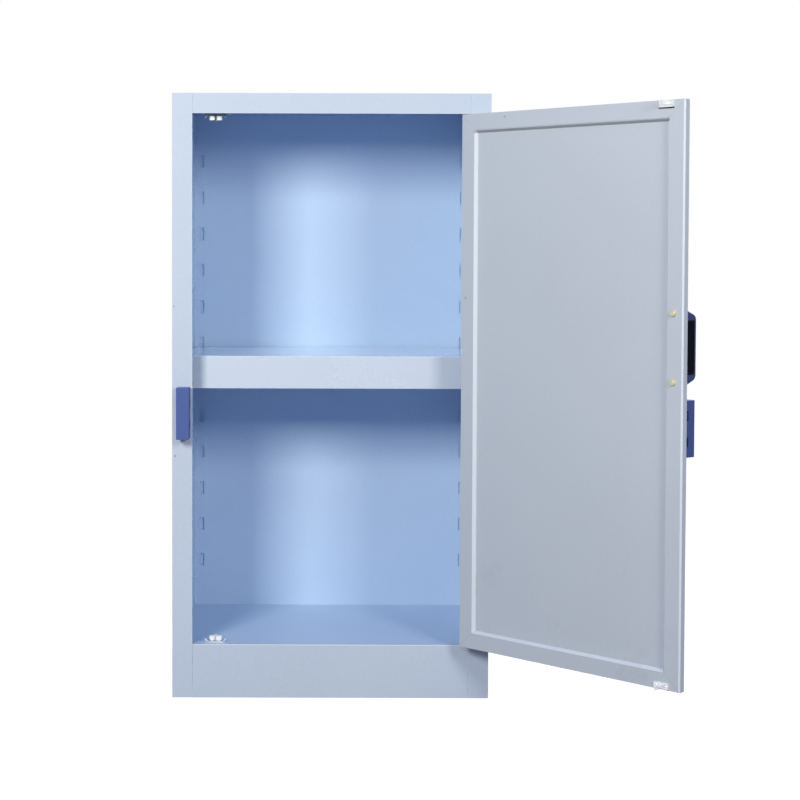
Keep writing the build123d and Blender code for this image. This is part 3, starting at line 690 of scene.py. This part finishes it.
def make_finishes():
    """The materials, by slot or by the name that OWN_FINISH gives."""
    return {
        "carcass": carcass_material(),
        "shelf": shelf_material(),
        "door": door_material(),
        "blue_fittings": blue_material("blue_moulding", STILE_BLUE, on_door=False),
        "blue_shaded_on_door": blue_material("blue_moulding_door_shaded", DOOR_SHADED_BLUE, on_door=True),
        "blue_handle_shaded": blue_material("blue_handle_shaded", HANDLE_SHADED_BLUE, True, HANDLE_GAP_SHADE_BLUE),
        "steel": steel_material("bright_steel", STEEL_TONE, STEEL_PATCH_TONE),
        "shaded_steel": steel_material("shaded_steel", SHADED_STEEL_TONE, SHADED_STEEL_PATCH_TONE),
        "strike_shadow_metal": steel_material("strike_shadow_steel", STRIKE_SHADOW_TONE, STRIKE_SHADOW_PATCH_TONE),
        "roller": moulded_material("white_roller", ROLLER_TONE, ROLLER_PATCH_TONE, ROLLER_ROUGHNESS),
        "cap": moulded_material("cream_cap", CAP_TONE, CAP_PATCH_TONE, CAP_ROUGHNESS),
    }


def dress_nodes(finishes):
    for row in frame["record"]["subparts"]:
        thing = frame["nodes"][row["node"]]
        key = row["material_slot"]
        # Painted shade: the blue on the door takes its darker copy.
        if key == "blue_fittings" and thing["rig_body"] == "door":
            key = "blue_shaded_on_door"
        key = OWN_FINISH.get(row["node"], key)
        thing.data.materials.clear()
        thing.data.materials.append(finishes[key])


# ---- Strike shadow strips -------------------------------------------------------------------

STRIKE_X = CATCH_FROM_OPENING - OPENING_X
LIP_HALF_LENGTH = 0.0125
LIP_PROUD = 0.0016
LIP_EDGE_W = 0.4 * LIP_PROUD
LIP_EDGE_SEGMENTS = 3
UPPER_LIP_LOW_Z, UPPER_LIP_HIGH_Z = 0.8559, 0.8577
LOWER_LIP_LOW_Z, LOWER_LIP_HIGH_Z = 0.0843, 0.0854


def make_strike_shadow_strip(name, low_z, high_z, finish):
    """A dark strip along one edge of a strike's plate, on the door's border: a painted shadow under
    the plate.
    """
    shape = bmesh.new()
    bmesh.ops.create_cube(shape, size=1.0)
    size = Vector((2 * LIP_HALF_LENGTH, LIP_PROUD, high_z - low_z))
    middle = Vector((STRIKE_X, DOOR_INNER_Y + LIP_PROUD / 2, (low_z + high_z) / 2))
    bmesh.ops.scale(shape, vec=size, verts=shape.verts)
    proud_edges = [edge for edge in shape.edges if all(vert.co.y > 0.0 for vert in edge.verts)]
    bmesh.ops.bevel(shape, geom=proud_edges, offset=LIP_EDGE_W, segments=LIP_EDGE_SEGMENTS,
                    affect="EDGES")
    bmesh.ops.translate(shape, vec=middle, verts=shape.verts)
    bmesh.ops.transform(shape, matrix=TO_OPEN, verts=shape.verts)
    bmesh.ops.recalc_face_normals(shape, faces=shape.faces)
    mesh = bpy.data.meshes.new(name)
    shape.to_mesh(mesh)
    shape.free()
    mesh.materials.append(finish)
    piece = bpy.data.objects.new(name, mesh)
    bpy.context.scene.collection.objects.link(piece)
    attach(piece, "door")


def add_strike_shadow_strips(finish):
    make_strike_shadow_strip("upper_strike_shadow_strip", UPPER_LIP_LOW_Z, UPPER_LIP_HIGH_Z, finish)
    make_strike_shadow_strip("lower_strike_shadow_strip", LOWER_LIP_LOW_Z, LOWER_LIP_HIGH_Z, finish)


# ---- Light, world and floor -----------------------------------------------------------------

# Two lights in front, for the photograph's view, and two behind, for the back and the top.
LIGHT_COLOUR = (1.0, 0.985, 0.93)
LIGHTS = (
    # name, place, target, width and height, watts
    ("front_left_light", (-0.985, -2.27, 1.32), (0.0, 0.0, 1.05), (0.60, 0.62), 40.5),
    ("front_right_light", (1.22, -2.27, 1.32), (0.0, 0.0, 1.05), (0.60, 0.62), 24.5),
    ("rear_left_light", (-1.9, 1.9, 1.9), (0.0, 0.1, 0.6), (1.0, 1.0), 48.0),
    ("rear_right_light", (2.0, 1.8, 1.9), (0.1, 0.1, 0.6), (1.0, 1.0), 48.0),
)

AMBIENT = (0.008, 0.056, 0.31)
WHITE = (1.0, 1.0, 1.0)

FLOOR_RADIUS, FLOOR_SEGMENTS = 7.0, 96
FLOOR_DROP = 0.0005           # below the cabinet's foot
FLOOR_NOISE_SCALE = 3.0
FLOOR_DARKER, FLOOR_LIGHTER = (0.28, 0.28, 0.28), (0.32, 0.32, 0.32)
SHADOW_TONE = (0.30, 0.28, 0.26)               # the part of the seen floor that takes shadow
NEAR_WHITE = 0.91                              # the part that doesn't
FADE_FROM, FADE_TO = 1.0, 2.2                  # radii between which the floor turns all white


def soft_light(name, place, target, size, power):
    data = bpy.data.lights.new(name, "AREA")
    data.color = LIGHT_COLOUR
    data.shape = "RECTANGLE"
    data.size, data.size_y = size
    data.energy = power
    light = bpy.data.objects.new(name, data)
    light.location = place
    light.rotation_euler = (Vector(target) - Vector(place)).to_track_quat("-Z", "Y").to_euler()
    light.visible_camera = False
    bpy.context.scene.collection.objects.link(light)


def make_world():
    """A white background, and a blue ambient light that only falls on the surfaces."""
    world = bpy.data.worlds.new("studio")
    bpy.context.scene.world = world
    world.use_nodes = True
    tree = world.node_tree
    tree.nodes.clear()
    seen = seen_directly(tree)
    ambient = add(tree, "Background", {"Color": (*AMBIENT, 1.0), "Strength": 1.0})
    white = add(tree, "Background", {"Color": (*WHITE, 1.0), "Strength": 1.0})
    shown = add(tree, "MixShader", {0: seen, 1: ambient.outputs[0], 2: white.outputs[0]})
    out = add(tree, "OutputWorld")
    tree.links.new(shown.outputs[0], out.inputs["Surface"])


def floor_material():
    """Pale and matt. The camera sees it mostly white, with the object's shadow still on it."""
    material, tree, bsdf = new_material("pale_floor")
    tree.nodes.remove(bsdf)
    place, _ = place_of(tree)
    tint = blend_colour(tree, noise(tree, place, FLOOR_NOISE_SCALE), FLOOR_DARKER, FLOOR_LIGHTER)
    matt = add(tree, "BsdfDiffuse", {"Color": tint})
    shadowed = add(tree, "BsdfDiffuse", {"Color": (*SHADOW_TONE, 1.0)})
    white = add(tree, "Emission", {"Color": (*WHITE, 1.0), "Strength": NEAR_WHITE})
    near = add(tree, "AddShader", {0: shadowed.outputs[0], 1: white.outputs[0]})
    far = add(tree, "Emission", {"Color": (*WHITE, 1.0), "Strength": 1.0})
    radius = add(tree, "VectorMath", {0: place}, operation="LENGTH").outputs["Value"]
    fade = remap(tree, radius, FADE_FROM, FADE_TO, 0.0, 1.0)
    shown = add(tree, "MixShader", {0: fade, 1: near.outputs[0], 2: far.outputs[0]})
    seen = seen_directly(tree)
    whole = add(tree, "MixShader", {0: seen, 1: matt.outputs[0], 2: shown.outputs[0]})
    tree.links.new(whole.outputs[0], tree.nodes["Material Output"].inputs["Surface"])
    return material


def make_floor():
    mesh = bpy.data.meshes.new("floor")
    shape = bmesh.new()
    bmesh.ops.create_circle(shape, cap_ends=True, segments=FLOOR_SEGMENTS, radius=FLOOR_RADIUS)
    shape.to_mesh(mesh)
    shape.free()
    floor = bpy.data.objects.new("floor", mesh)
    floor.location = (0.0, 0.0, -FLOOR_DROP)
    bpy.context.scene.collection.objects.link(floor)
    mesh.materials.append(floor_material())


make_camera()
finishes = make_finishes()
dress_nodes(finishes)
# Painted shadows: dark strips under the strikes' plates.
add_strike_shadow_strips(finishes["strike_shadow_metal"])
for light in LIGHTS:
    soft_light(*light)
make_world()
make_floor()

bpy.context.scene.view_settings.view_transform = "Standard"
